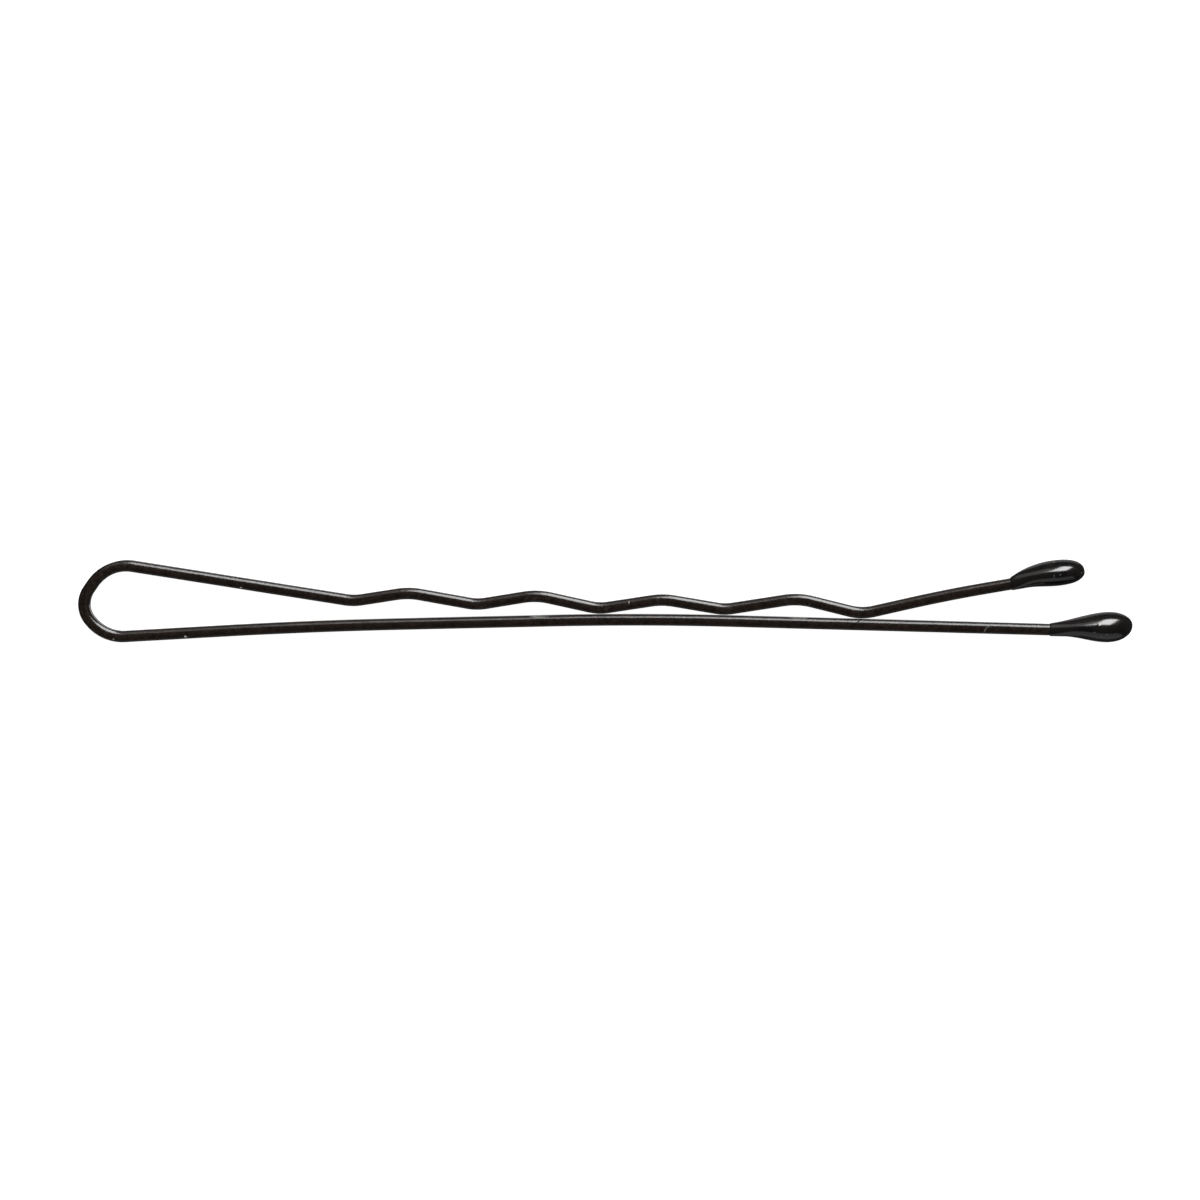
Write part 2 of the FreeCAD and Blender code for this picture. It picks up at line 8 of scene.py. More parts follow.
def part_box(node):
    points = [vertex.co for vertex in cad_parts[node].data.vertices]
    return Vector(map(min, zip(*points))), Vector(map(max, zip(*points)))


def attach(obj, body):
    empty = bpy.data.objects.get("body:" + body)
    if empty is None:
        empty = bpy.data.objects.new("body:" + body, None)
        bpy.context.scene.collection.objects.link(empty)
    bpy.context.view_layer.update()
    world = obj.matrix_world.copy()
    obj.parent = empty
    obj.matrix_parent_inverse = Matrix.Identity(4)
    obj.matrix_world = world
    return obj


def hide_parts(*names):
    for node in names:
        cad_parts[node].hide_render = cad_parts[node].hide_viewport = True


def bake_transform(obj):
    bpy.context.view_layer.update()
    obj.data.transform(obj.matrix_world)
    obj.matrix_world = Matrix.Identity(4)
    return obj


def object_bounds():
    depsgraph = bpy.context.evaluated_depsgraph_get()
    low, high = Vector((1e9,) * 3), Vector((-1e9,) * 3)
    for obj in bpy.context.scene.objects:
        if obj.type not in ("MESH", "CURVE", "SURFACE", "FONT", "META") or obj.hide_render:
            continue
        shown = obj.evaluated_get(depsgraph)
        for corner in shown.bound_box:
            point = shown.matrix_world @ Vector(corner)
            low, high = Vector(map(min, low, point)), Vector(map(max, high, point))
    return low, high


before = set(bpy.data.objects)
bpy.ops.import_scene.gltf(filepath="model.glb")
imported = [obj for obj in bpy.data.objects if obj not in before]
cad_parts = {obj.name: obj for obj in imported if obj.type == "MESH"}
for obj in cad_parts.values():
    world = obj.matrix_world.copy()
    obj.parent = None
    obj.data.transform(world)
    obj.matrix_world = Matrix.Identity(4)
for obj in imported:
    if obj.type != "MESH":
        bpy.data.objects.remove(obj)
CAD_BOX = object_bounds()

# A bobby pin lying on its side: one lacquered strip of spring wire and the resin bead on each end of it.
# X runs from the bow to the tips, Y from the smooth leg to the crimped leg and Z up from the table.
# Sizes are in millimetres and angles in degrees. They become metres where a mesh or a node takes them.
MM = 0.001

# The strip
STRIP_THICKNESS = 0.55
STRIP_WIDTH = 1.3
EDGE_DEPTH = 0.13  # the rolled edges are flat ovals
BOW_LOW, BOW_HIGH = (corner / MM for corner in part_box("spring_bow"))
STRIP_LEVEL = (BOW_LOW.z + BOW_HIGH.z) / 2
RUN_STEP = 0.11  # between sections of the drawn strip
BEND_STEP = 0.07  # the same, round a bend
SECTION_POINTS = 96  # round one section of the strip
EDGE_STEPS = 16  # round each edge of the strip, before its points are spread evenly

# The bow
APEX = Vector((BOW_LOW.x + STRIP_THICKNESS / 2, -0.16))
APEX_RADIUS = 1.24
SHOULDER_RADIUS = 2.0
UPPER_SIDE = {"angle": 55.5, "run": 0.34}
LOWER_SIDE = {"angle": 48.8, "run": 0.1}
ROOT_RUN = 3.8  # straight stretch from the bow to the line where a leg begins to flex
SEAM_RUN = 0.5  # part of that stretch that is drawn with the bow

# The smooth leg
SMOOTH_ROOT_ANGLE = 3.22
SMOOTH_FIRST_RUN = 0.7
SMOOTH_NEAR_RADIUS = 261.0
SMOOTH_MIDDLE_ANGLE = 1.28
SMOOTH_MIDDLE_RUN = 7.37
SMOOTH_FAR_RADIUS = 176.0
SMOOTH_END_ANGLE = -1.53
SMOOTH_END_RUN = 15.42

# The crimped leg
CRIMPED_ROOT_ANGLE = -8.93
FIRST_TROUGH = 13.34  # from the outside of the bow
WAVES = (
    {"climb": 2.62, "descent": 3.38, "crest_rise": 0.42, "trough_gap": 0.34},
    {"climb": 2.76, "descent": 3.2, "crest_rise": 0.465, "trough_gap": 0.03},
    {"climb": 2.97, "descent": 3.04, "crest_rise": 0.405, "trough_gap": 0.03},
    {"climb": 3.38, "descent": 3.26, "crest_rise": 0.54, "trough_gap": 0.03},
)
TROUGH_RADIUS = 2.6
CREST_RADIUS = 3.4
LIFT_ANGLE = 12.75
LIFT_RUN = 1.56
LIFT_RADIUS = 74.5
CRIMPED_END_ANGLE = 9.63
CRIMPED_END_RUN = 1.12

# The beads: resin over the strip's upper face, under its lower one and beside it.
# Stations, and the peaks where the resin is thickest, are measured from where a bead begins.
TIP_GRIP = 2.4  # strip inside a bead
TIP_FILM = 0.03  # resin on the strip where a bead begins
FILM_LIP = 0.07  # length over which the film reaches that thickness
FILM_ROOT = 0.02  # how far the film's edge is let into the strip
UNDER_START = 0.65  # where the resin under the strip begins to swell
SIDE_SWELL = 1.3  # slope with which a bead's sides set out
EARLY_OVAL = 1.3  # how much sooner a bead's section is oval than it is widest
BEAD_POINTS = 144  # round one section of a bead
NECK_STEPS = 84
NECK_CROWDING = 1.6  # draws the neck's sections together where the bead begins
DOME_STEPS = 64
STILL_RINGS = 3  # sections at the film's edge that stay even
# A nib is a grain under the resin: its station, its place across the bead and its radius.
NIB_HEIGHT = 0.014
PAINTED_GLINT_HALF = 0.03  # half the breadth of the painted glint on a grain's top
# how strongly the glint is painted on each grain
PAINTED_GLINT_STRENGTH = 0.5
SMOOTH_BEAD = {
    "length": 3.995, "over": 0.66, "over_peak": 2.94, "under": 0.27, "under_peak": 2.7,
    "width": 1.67, "side_peak": 2.25, "swell": 0.7, "end_rise": 0.3, "bluntness": 2.05,
    "nibs": ((2.37, 0.28, 0.06), (2.17, -0.06, 0.05), (2.75, -0.13, 0.06), (2.5, -0.26, 0.05)),
}
CRIMPED_BEAD = {
    "length": 3.62, "over": 0.52, "over_peak": 1.97, "under": 0.21, "under_peak": 2.5,
    "width": 1.67, "side_peak": 1.9, "swell": 2.0, "end_rise": 0.05, "bluntness": 2.35,
    "nibs": ((2.23, 0.7, 0.06), (2.42, 0.06, 0.05), (2.12, 0.05, 0.06), (3.46, -0.04, 0.05)),
}

# Handwork: how uneven the dipped surfaces are
LACQUER_WAVE = {"depth": 0.008, "size": 1.7}
RESIN_WAVE = {"depth": 0.004, "size": 0.8}

# Wear, and one painted shadow where the legs touch, on the edge that faces up: middle, half length and
# half breadth, turn and strength of each mark
MARK_LEVEL = STRIP_LEVEL + STRIP_WIDTH / 2
MARK_DEPTH = 0.22  # how far a mark reaches down the strip's sides
PAINTED_GLINT_DEPTH = 0.5  # the same for the painted glints on the grains, which lie at different levels on the beads
RIM_SIZE = 0.05  # lumps of a mark's ragged rim
RIM_RAGGED = 0.8  # how far the lumps move the rim, in shares of the mark
RIM_INSIDE, RIM_OUTSIDE = 1.1, 1.5  # where the rim begins and ends, with its lumps added
PALE_CHIPS = (
    {"at": (-23.77, -1.851), "half": (0.05, 0.05), "turn": 0.0, "strength": 0.35},
    {"at": (-20.28, -1.73), "half": (0.08, 0.055), "turn": 5.0, "strength": 0.85},
    {"at": (-17.58, 0.642), "half": (0.07, 0.05), "turn": -10.0, "strength": 0.75},
    {"at": (1.193, -0.06), "half": (0.075, 0.035), "turn": 85.0, "strength": 0.5},
    {"at": (18.38, -1.42), "half": (0.17, 0.026), "turn": 62.0, "strength": 0.28},
    {"at": (18.58, -1.2), "half": (0.14, 0.024), "turn": 38.0, "strength": 0.28},
)
RUBBED_PATCHES = (
    {"at": (-3.15, -0.74), "half": (0.5, 0.085), "turn": 1.0, "strength": 0.7},
    {"at": (9.4, -0.79), "half": (0.58, 0.085), "turn": -0.5, "strength": 0.8},
)
# Dark notches in the lacquer; the last one is a painted shadow on the smooth leg where the crimped leg's
# last trough rests on it.
DARK_NOTCHES_AND_CONTACT_SHADOW = (
    {"at": (-2.67, -0.742), "half": (0.06, 0.07), "turn": 20.0, "strength": 1.0},
    {"at": (9.97, -0.791), "half": (0.07, 0.06), "turn": -15.0, "strength": 1.0},
    {"at": (12.25, -1.009), "half": (0.05, 0.05), "turn": 0.0, "strength": 0.8},
)


def heading(angle):
    """Unit vector in the pin's plane."""
    return Vector((math.cos(math.radians(angle)), math.sin(math.radians(angle))))


def ease(share):
    """Smooth step from 0 to 1."""
    share = min(1.0, max(0.0, share))
    return share * share * (3 - 2 * share)


class Route:
    """Middle line of the strip: straight runs and round bends, each tangent to the one before."""

    def __init__(self, start, angle):
        self.points = [start]
        self.bent = [0.0]
        self.angle = angle

    def run(self, length):
        start = self.points[-1]
        steps = max(1, math.ceil(length / RUN_STEP))
        for step in range(1, steps + 1):
            self.points.append(start + heading(self.angle) * (length * step / steps))
            self.bent.append(0.0)

    def run_to(self, point):
        self.run((point - self.points[-1]).length)

    def bend(self, radius, angle):
        begin, turn = self.angle, math.copysign(90, angle - self.angle)
        centre = self.points[-1] + heading(begin + turn) * radius
        steps = max(2, math.ceil(radius * math.radians(abs(angle - begin)) / BEND_STEP))
        for step in range(1, steps + 1):
            now = begin + (angle - begin) * step / steps
            self.points.append(centre + heading(now - turn) * radius)
            self.bent.append(min(1.0, TROUGH_RADIUS / radius))
        self.angle = angle

    def height_at(self, x):
        """Height of the line at x, on a stretch that never turns back."""
        for before, after in zip(self.points, self.points[1:]):
            if before.x <= x <= after.x:
                return before.y + (after.y - before.y) * (x - before.x) / (after.x - before.x)
        raise ValueError(f"the route doesn't pass x = {x}")


def side_of_bow(side, up, leg_angle):
    """From the apex round to the root of a leg."""
    turn = 1 if up else -1
    route = Route(APEX, 90 * turn)
    route.bend(APEX_RADIUS, side["angle"] * turn)
    route.run(side["run"])
    route.bend(SHOULDER_RADIUS, leg_angle)
    return route


def smooth_leg_route(root):
    """A shallow arch that ends inside its bead."""
    route = Route(root + heading(SMOOTH_ROOT_ANGLE) * SEAM_RUN, SMOOTH_ROOT_ANGLE)
    route.run(ROOT_RUN - SEAM_RUN + SMOOTH_FIRST_RUN)
    route.bend(SMOOTH_NEAR_RADIUS, SMOOTH_MIDDLE_ANGLE)
    route.run(SMOOTH_MIDDLE_RUN)
    route.bend(SMOOTH_FAR_RADIUS, SMOOTH_END_ANGLE)
    route.run(SMOOTH_END_RUN)
    return route


def crimp_bends(root, smooth_leg):
    """Centre and radius of each crimp's bend from the bow to the tip: trough, crest, trough and so on."""
    x = FIRST_TROUGH + BOW_LOW.x
    slope = math.radians(-CRIMPED_ROOT_ANGLE)
    low = root.y - math.tan(slope) * (x - root.x) + TROUGH_RADIUS * (1 / math.cos(slope) - 1)
    bends = [(Vector((x, low + TROUGH_RADIUS)), TROUGH_RADIUS)]
    for wave in WAVES:
        crest_x = x + wave["climb"]
        x = crest_x + wave["descent"]
        next_low = smooth_leg.height_at(x) + STRIP_THICKNESS + wave["trough_gap"]
        high = (low + next_low) / 2 + wave["crest_rise"]
        low = next_low
        bends.append((Vector((crest_x, high - CREST_RADIUS)), CREST_RADIUS))
        bends.append((Vector((x, low + TROUGH_RADIUS)), TROUGH_RADIUS))
    return bends


def crimped_leg_route(root, smooth_leg):
    """Troughs and crests, then an end lifted away from the smooth leg."""
    route = Route(root + heading(CRIMPED_ROOT_ANGLE) * SEAM_RUN, CRIMPED_ROOT_ANGLE)
    bends = crimp_bends(root, smooth_leg)
    for index, (centre, radius) in enumerate(bends):
        side = 1 if index % 2 else -1
        route.run_to(centre + heading(route.angle + 90 * side) * radius)
        if index + 1 < len(bends):
            step = bends[index + 1][0] - centre
            lean = math.degrees(math.asin((TROUGH_RADIUS + CREST_RADIUS) / step.length))
            route.bend(radius, math.degrees(math.atan2(step.y, step.x)) - side * lean)
    route.bend(TROUGH_RADIUS, LIFT_ANGLE)
    route.run(LIFT_RUN)
    route.bend(LIFT_RADIUS, CRIMPED_END_ANGLE)
    route.run(CRIMPED_END_RUN)
    return route


# Materials

LACQUER_DARK = (0.0045, 0.0030, 0.0024, 1)
LACQUER_BROWN = (0.0185, 0.0118, 0.0092, 1)
LACQUER_DUST = (0.20, 0.18, 0.16, 1)
RUBBED_LACQUER = (0.20, 0.19, 0.175, 1)
BARE_STEEL = (0.42, 0.40, 0.35, 1)
# near-black for the dark notches and for the painted contact shadow
NOTCH_AND_SHADOW_PAINT = (0.004, 0.003, 0.003, 1)
RESIN_DARK = (0.0032, 0.0028, 0.0027, 1)
RESIN_BROWN = (0.0085, 0.0068, 0.0062, 1)
RESIN_DUST = (0.20, 0.19, 0.18, 1)
# pale colour of the glints painted on the grains under the resin
PAINTED_GLINT_COLOUR = (0.32, 0.31, 0.30, 1)
TABLE_GREY = (0.30, 0.30, 0.30, 1)
TABLE_PALE = (0.34, 0.34, 0.34, 1)

# Finishes: sizes of their lumps, depths of their relief, their roughness and how much the wear shows
DRAWN_GRAIN = (0.08, 1.0, 1.0)  # stretches the grain along the wire
LACQUER_FINISH = {
    "grain_size": 0.05, "mottle_size": 0.2, "peel_size": 0.16, "wear_size": 0.22,
    "grain_depth": 0.0012, "peel_depth": 0.004, "chip_notch_and_shadow_depth": 0.012,
    "polished": 0.13, "dull": 0.21, "rub_dulling": 0.2, "chip_notch_and_shadow_dulling": 0.45,
    "bend_wear": 0.135, "speck_paleness": 0.6, "dust_paleness": 0.25, "ior": 1.5,
}
RESIN_FINISH = {
    "cloud_size": 0.7, "dimple_size": 0.2, "haze_size": 0.35,
    "dimple_depth": 0.003, "pinhole_depth": 0.006,
    "polished": 0.165, "dull": 0.195, "dust_dulling": 0.3, "dust_paleness": 0.3, "ior": 1.6,
}


def node(tree, kind, **settings):
    """A new node with its properties set."""
    made = tree.nodes.new(kind)
    for name, value in settings.items():
        setattr(made, name, value)
    return made


def wire(tree, source, target):
    """Link an output to an input, or set the input to a plain value."""
    if isinstance(source, bpy.types.NodeSocket):
        tree.links.new(source, target)
    else:
        target.default_value = source


def sum_node(tree, operation, first, second=0.0, third=0.0):
    """A math node's result."""
    made = node(tree, "ShaderNodeMath", operation=operation)
    for value, socket in zip((first, second, third), made.inputs):
        wire(tree, value, socket)
    return made.outputs[0]


def span(tree, value, low, high, to_low, to_high):
    """Carry a value from one range to another, held at the ends."""
    made = node(tree, "ShaderNodeMapRange", interpolation_type="SMOOTHSTEP")
    for given, socket in zip((value, low, high, to_low, to_high), made.inputs):
        wire(tree, given, socket)
    return made.outputs[0]


def blended_colour(tree, share, first, second):
    """One colour turning into another."""
    made = node(tree, "ShaderNodeMix", data_type="RGBA")
    wire(tree, share, made.inputs["Factor"])
    for given, socket in zip((first, second), [s for s in made.inputs if s.type == "RGBA"]):
        wire(tree, given, socket)
    return next(s for s in made.outputs if s.type == "RGBA")


def cloud(tree, place, size, detail=3.0, roughness=0.55):
    """Noise whose lumps are about size millimetres across."""
    made = node(tree, "ShaderNodeTexNoise")
    wire(tree, place, made.inputs["Vector"])
    made.inputs["Scale"].default_value = 1 / (size * MM)
    made.inputs["Detail"].default_value = detail
    made.inputs["Roughness"].default_value = roughness
    return made.outputs["Fac"]


def flecks(tree, place, spacing, radius, share, ragged):
    """Mask of small ragged spots, on a share of cells that are spacing millimetres across."""
    cells = node(tree, "ShaderNodeTexVoronoi", feature="F1")
    wire(tree, place, cells.inputs["Vector"])
    cells.inputs["Scale"].default_value = 1 / (spacing * MM)
    pick = node(tree, "ShaderNodeSeparateColor")
    wire(tree, cells.outputs["Color"], pick.inputs[0])
    rim = cloud(tree, place, radius * 0.8)
    edge = sum_node(tree, "MULTIPLY_ADD", rim, ragged, cells.outputs["Distance"])
    reach = radius / spacing
    spot = span(tree, edge, reach * 0.7 + ragged / 2, reach * 1.2 + ragged / 2, 1.0, 0.0)
    chosen = sum_node(tree, "LESS_THAN", pick.outputs[0], share)
    return sum_node(tree, "MULTIPLY", spot, chosen)


def marks(tree, place, wanted, depth):
    """Mask of marks that each have their own place on the pin's upper side, with ragged rims."""
    rim = cloud(tree, place, RIM_SIZE)
    mask = 0.0
    for mark in wanted:
        x, y = mark["at"]
        half_length, half_breadth = mark["half"]
        spot = node(tree, "ShaderNodeMapping", vector_type="TEXTURE")
        wire(tree, place, spot.inputs["Vector"])
        spot.inputs["Location"].default_value = (x * MM, y * MM, MARK_LEVEL * MM)
        spot.inputs["Rotation"].default_value = (0.0, 0.0, math.radians(mark["turn"]))
        spot.inputs["Scale"].default_value = (half_length * MM, half_breadth * MM, depth * MM)
        reach = node(tree, "ShaderNodeVectorMath", operation="LENGTH")
        wire(tree, spot.outputs[0], reach.inputs[0])
        edge = sum_node(tree, "MULTIPLY_ADD", rim, RIM_RAGGED, reach.outputs["Value"])
        shown = span(tree, edge, RIM_INSIDE, RIM_OUTSIDE, mark["strength"], 0.0)
        mask = sum_node(tree, "MAXIMUM", mask, shown)
    return mask


def bumps(tree, height, depth, strength=1.0, under=None):
    """Normal of a surface whose height of 0 to 1 stands for depth millimetres."""
    made = node(tree, "ShaderNodeBump")
    wire(tree, height, made.inputs["Height"])
    made.inputs["Distance"].default_value = depth * MM
    made.inputs["Strength"].default_value = strength
    if under:
        wire(tree, under, made.inputs["Normal"])
    return made.outputs[0]


def new_material(name):
    """A material with only its shader and output, and the piece's own coordinates."""
    made = bpy.data.materials.new(name)
    made.use_nodes = True
    tree = made.node_tree
    place = node(tree, "ShaderNodeTexCoord").outputs["Object"]
    return made, tree, tree.nodes["Principled BSDF"], place


def lacquered_steel():
    """Black-brown stoving lacquer on spring steel: drawn grain, orange peel, rubbed bends and chips."""
    finish = LACQUER_FINISH
    made, tree, shader, place = new_material("lacquered_steel")
    drawn = node(tree, "ShaderNodeMapping")
    drawn.inputs["Scale"].default_value = DRAWN_GRAIN
    wire(tree, place, drawn.inputs["Vector"])
    grain = cloud(tree, drawn.outputs[0], finish["grain_size"], detail=4.0, roughness=0.6)
    mottle = cloud(tree, place, finish["mottle_size"], detail=5.0, roughness=0.7)
    peel = cloud(tree, place, finish["peel_size"], detail=2.0)
    thin = cloud(tree, place, finish["wear_size"], detail=5.0, roughness=0.7)
    bent = node(tree, "ShaderNodeAttribute", attribute_name="bent").outputs["Fac"]
    bend_rub = sum_node(tree, "MULTIPLY", bent, span(tree, thin, 0.5, 0.75, 0.0, finish["bend_wear"]))
    patches = marks(tree, place, RUBBED_PATCHES, MARK_DEPTH)
    patch_rub = sum_node(tree, "MULTIPLY", patches, span(tree, thin, 0.3, 0.6, 0.2, 1.0))
    rub = sum_node(tree, "MAXIMUM", bend_rub, patch_rub)
    specks = flecks(tree, place, spacing=1.6, radius=0.05, share=0.05, ragged=0.06)
    chips = marks(tree, place, PALE_CHIPS, MARK_DEPTH)
    pale_specks = sum_node(tree, "MULTIPLY", specks, finish["speck_paleness"])
    nicks = sum_node(tree, "MAXIMUM", pale_specks, chips)
    # dark notches, and a painted shadow where the crimped leg rests on the smooth leg
    notches_and_shadow = marks(tree, place, DARK_NOTCHES_AND_CONTACT_SHADOW, MARK_DEPTH)
    # chips, notches and the painted shadow mark also dull and dent the lacquer
    chips_notches_and_shadow = sum_node(tree, "MAXIMUM", nicks, notches_and_shadow)
    dust = flecks(tree, place, spacing=0.5, radius=0.016, share=0.2, ragged=0.04)

    coat = blended_colour(tree, span(tree, mottle, 0.3, 0.7, 0.0, 1.0), LACQUER_DARK, LACQUER_BROWN)
    rubbed = blended_colour(tree, rub, coat, RUBBED_LACQUER)
    pale_dust = sum_node(tree, "MULTIPLY", dust, finish["dust_paleness"])
    dusted = blended_colour(tree, pale_dust, rubbed, LACQUER_DUST)
    chipped = blended_colour(tree, nicks, dusted, BARE_STEEL)
    # paints the notches and the contact shadow near-black
    notched_and_shadowed = blended_colour(tree, notches_and_shadow, chipped, NOTCH_AND_SHADOW_PAINT)
    wire(tree, notched_and_shadowed, shader.inputs["Base Color"])

    sheen = span(tree, grain, 0.25, 0.75, finish["polished"], finish["dull"])
    rougher = sum_node(tree, "MULTIPLY_ADD", rub, finish["rub_dulling"], sheen)
    roughest = sum_node(tree, "MULTIPLY_ADD", chips_notches_and_shadow, finish["chip_notch_and_shadow_dulling"], rougher)
    wire(tree, roughest, shader.inputs["Roughness"])
    skin = bumps(tree, peel, finish["peel_depth"], strength=0.5)
    lines = bumps(tree, grain, finish["grain_depth"], strength=0.5, under=skin)
    unmarked_skin = sum_node(tree, "SUBTRACT", 1.0, chips_notches_and_shadow)
    relief = bumps(tree, unmarked_skin, finish["chip_notch_and_shadow_depth"], under=lines)
    wire(tree, relief, shader.inputs["Normal"])
    shader.inputs["IOR"].default_value = finish["ior"]
    return made


def tip_resin(painted_glint_marks):
    """Glossy black dipping resin: soft dimples, a few pinholes, fine dust and glints painted over the
    grains under it.
    """
    finish = RESIN_FINISH
    made, tree, shader, place = new_material("tip_resin")
    depth = cloud(tree, place, finish["cloud_size"])
    dimples = cloud(tree, place, finish["dimple_size"], detail=2.0, roughness=0.5)
    haze = cloud(tree, place, finish["haze_size"], detail=1.0)
    pinholes = flecks(tree, place, spacing=0.55, radius=0.022, share=0.12, ragged=0.03)
    dust = flecks(tree, place, spacing=0.34, radius=0.012, share=0.25, ragged=0.03)
    # pale spots painted on the grains' tops as glints
    painted_glint_mask = marks(tree, place, painted_glint_marks, PAINTED_GLINT_DEPTH)

    resin = blended_colour(tree, span(tree, depth, 0.3, 0.7, 0.0, 1.0), RESIN_DARK, RESIN_BROWN)
    pale_dust = sum_node(tree, "MULTIPLY", dust, finish["dust_paleness"])
    dusted = blended_colour(tree, pale_dust, resin, RESIN_DUST)
    # paints the glints on the grains
    with_painted_glints = blended_colour(tree, painted_glint_mask, dusted, PAINTED_GLINT_COLOUR)
    wire(tree, with_painted_glints, shader.inputs["Base Color"])

    gloss = span(tree, haze, 0.3, 0.75, finish["polished"], finish["dull"])
    dusty_gloss = sum_node(tree, "MULTIPLY_ADD", dust, finish["dust_dulling"], gloss)
    wire(tree, dusty_gloss, shader.inputs["Roughness"])
    skin = bumps(tree, dimples, finish["dimple_depth"], strength=0.25)
    closed_skin = sum_node(tree, "SUBTRACT", 1.0, pinholes)
    relief = bumps(tree, closed_skin, finish["pinhole_depth"], under=skin)
    wire(tree, relief, shader.inputs["Normal"])
    shader.inputs["IOR"].default_value = finish["ior"]
    return made


# The strip, swept along a route


def strip_tree():
    """Node tree that sweeps the strip's section along a line of points and gives it its lacquer."""
    tree = bpy.data.node_groups.new("strip_along_route", "GeometryNodeTree")
    ports = tree.interface
    ports.new_socket("Route", in_out="INPUT", socket_type="NodeSocketGeometry")
    for name, kind in (
        ("Strip Thickness", "NodeSocketFloat"),
        ("Strip Width", "NodeSocketFloat"),
        ("Edge Depth", "NodeSocketFloat"),
        ("Edge Steps", "NodeSocketInt"),
        ("Section Points", "NodeSocketInt"),
        ("Wave Depth", "NodeSocketFloat"),
        ("Wave Size", "NodeSocketFloat"),
        ("Lacquer", "NodeSocketMaterial"),
    ):
        ports.new_socket(name, in_out="INPUT", socket_type=kind)
    ports.new_socket("Strip", in_out="OUTPUT", socket_type="NodeSocketGeometry")
    given = node(tree, "NodeGroupInput").outputs

    line = node(tree, "GeometryNodeMeshToCurve")
    wire(tree, given["Route"], line.inputs["Mesh"])
    level = node(tree, "GeometryNodeSetCurveNormal", mode="Z_UP")
    wire(tree, line.outputs["Curve"], level.inputs["Curve"])

    block = node(tree, "GeometryNodeCurvePrimitiveQuadrilateral", mode="RECTANGLE")
    wire(tree, given["Strip Thickness"], block.inputs["Width"])
    wire(tree, given["Strip Width"], block.inputs["Height"])
    rounded = node(tree, "GeometryNodeFilletCurve", mode="POLY")
    wire(tree, block.outputs["Curve"], rounded.inputs["Curve"])
    wire(tree, given["Edge Steps"], rounded.inputs["Count"])
    half_thickness = sum_node(tree, "MULTIPLY", given["Strip Thickness"], 0.5)
    wire(tree, half_thickness, rounded.inputs["Radius"])
    wire(tree, True, rounded.inputs["Limit Radius"])
    spot = node(tree, "ShaderNodeSeparateXYZ")
    wire(tree, node(tree, "GeometryNodeInputPosition").outputs[0], spot.inputs[0])
    half_width = sum_node(tree, "MULTIPLY", given["Strip Width"], 0.5)
    from_edge = sum_node(tree, "SUBTRACT", half_width, sum_node(tree, "ABSOLUTE", spot.outputs["Y"]))
    flatness = sum_node(tree, "DIVIDE", given["Edge Depth"], half_thickness)
    pressed = sum_node(tree, "MULTIPLY", from_edge, flatness)
    reach = sum_node(tree, "SUBTRACT", half_width, pressed)
    side = sum_node(tree, "SIGN", spot.outputs["Y"])
    new_spot = node(tree, "ShaderNodeCombineXYZ")
    wire(tree, spot.outputs["X"], new_spot.inputs["X"])
    wire(tree, sum_node(tree, "MULTIPLY", reach, side), new_spot.inputs["Y"])
    flattened = node(tree, "GeometryNodeSetPosition")
    wire(tree, rounded.outputs["Curve"], flattened.inputs["Geometry"])
    wire(tree, new_spot.outputs[0], flattened.inputs["Position"])
    section = node(tree, "GeometryNodeResampleCurve", mode="COUNT")
    wire(tree, flattened.outputs["Geometry"], section.inputs["Curve"])
    wire(tree, given["Section Points"], section.inputs["Count"])

    swept = node(tree, "GeometryNodeCurveToMesh")
    wire(tree, level.outputs["Curve"], swept.inputs["Curve"])
    wire(tree, section.outputs["Curve"], swept.inputs["Profile Curve"])

    waves = node(tree, "ShaderNodeTexNoise")
    wire(tree, sum_node(tree, "DIVIDE", 1.0, given["Wave Size"]), waves.inputs["Scale"])
    deepest = sum_node(tree, "MULTIPLY", given["Wave Depth"], -1.0)
    inward = sum_node(tree, "MULTIPLY", waves.outputs["Fac"], deepest)
    push = node(tree, "ShaderNodeVectorMath", operation="SCALE")
    wire(tree, node(tree, "GeometryNodeInputNormal").outputs["Normal"], push.inputs["Vector"])
    wire(tree, inward, push.inputs["Scale"])
    uneven = node(tree, "GeometryNodeSetPosition")
    wire(tree, swept.outputs["Mesh"], uneven.inputs["Geometry"])
    wire(tree, push.outputs["Vector"], uneven.inputs["Offset"])

    smooth = node(tree, "GeometryNodeSetShadeSmooth")
    wire(tree, uneven.outputs["Geometry"], smooth.inputs["Geometry"])
    real = node(tree, "GeometryNodeRealizeInstances")
    wire(tree, smooth.outputs["Geometry"], real.inputs["Geometry"])
    coated = node(tree, "GeometryNodeSetMaterial")
    wire(tree, real.outputs["Geometry"], coated.inputs["Geometry"])
    wire(tree, given["Lacquer"], coated.inputs["Material"])
    done = node(tree, "NodeGroupOutput")
    wire(tree, coated.outputs["Geometry"], done.inputs["Strip"])
    return tree


def add_object(name, mesh):
    """An object at the origin, in the scene."""
    made = bpy.data.objects.new(name, mesh)
    bpy.context.scene.collection.objects.link(made)
    return made


def route_object(name, points, bent):
    """The route as a line of points, each with a note of whether the strip is bent there."""
    mesh = bpy.data.meshes.new(name)
    places = [(point.x * MM, point.y * MM, STRIP_LEVEL * MM) for point in points]
    mesh.from_pydata(places, [(index, index + 1) for index in range(len(places) - 1)], [])
    mesh.attributes.new("bent", "FLOAT", "POINT").data.foreach_set("value", bent)
    return add_object(name, mesh)


def close_ends(mesh):
    """Cap both ends of a swept strip with flat faces and point every face outwards."""
    shell = bmesh.new()
    shell.from_mesh(mesh)
    open_edges = [edge for edge in shell.edges if edge.is_boundary]
    caps = bmesh.ops.holes_fill(shell, edges=open_edges, sides=0)["faces"]
    bmesh.ops.recalc_face_normals(shell, faces=shell.faces)
    for cap in caps:
        cap.smooth = False
        for edge in cap.edges:
            edge.smooth = False
    shell.to_mesh(mesh)
    shell.free()


